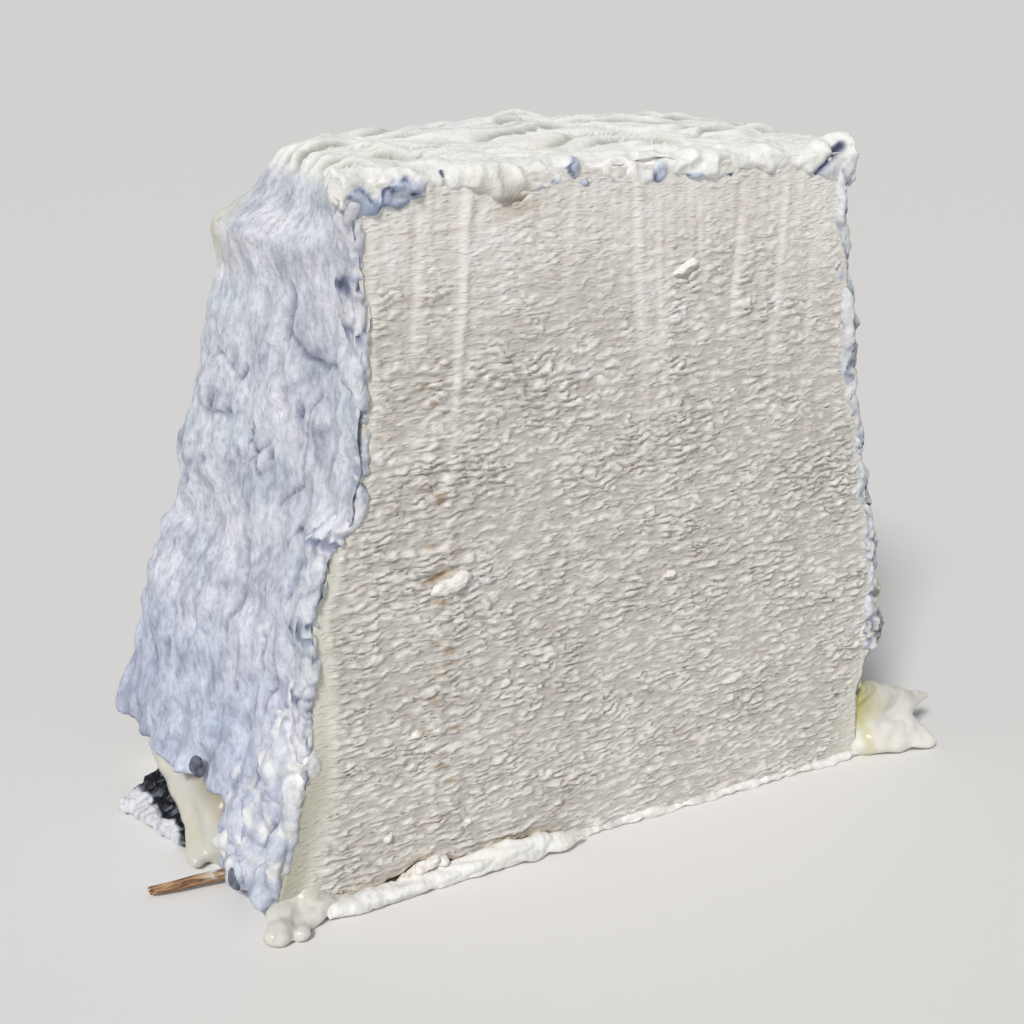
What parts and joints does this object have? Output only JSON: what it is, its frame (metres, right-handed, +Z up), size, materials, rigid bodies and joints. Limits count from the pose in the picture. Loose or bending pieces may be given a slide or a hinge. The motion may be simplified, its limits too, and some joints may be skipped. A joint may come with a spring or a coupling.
{
  "type": "ash goat cheese pyramid half",
  "caption": "Half of a truncated goat cheese pyramid, cut upright, with an ash-coated wrinkled rind, a torn sagging foot and a stub of straw; it rests on its base.",
  "frame": {"origin": "middle of the base of the half pyramid, on the surface it rests on; the cut face is 17 mm in front of it", "axes": "+X along the cut face to the right as seen from the front, +Y from the cut face into the cheese, +Z up"},
  "size_m": [0.0906, 0.0435, 0.0701],
  "materials": {
    "paste": "soft matt cream cheese paste, slightly moist",
    "rind": "matt white and blue-grey mould over ash",
    "straw": "dry fibrous straw"
  },
  "bodies": {
    "root": {"cheese": "paste", "straw": "straw"}
  },
  "joints": []
}
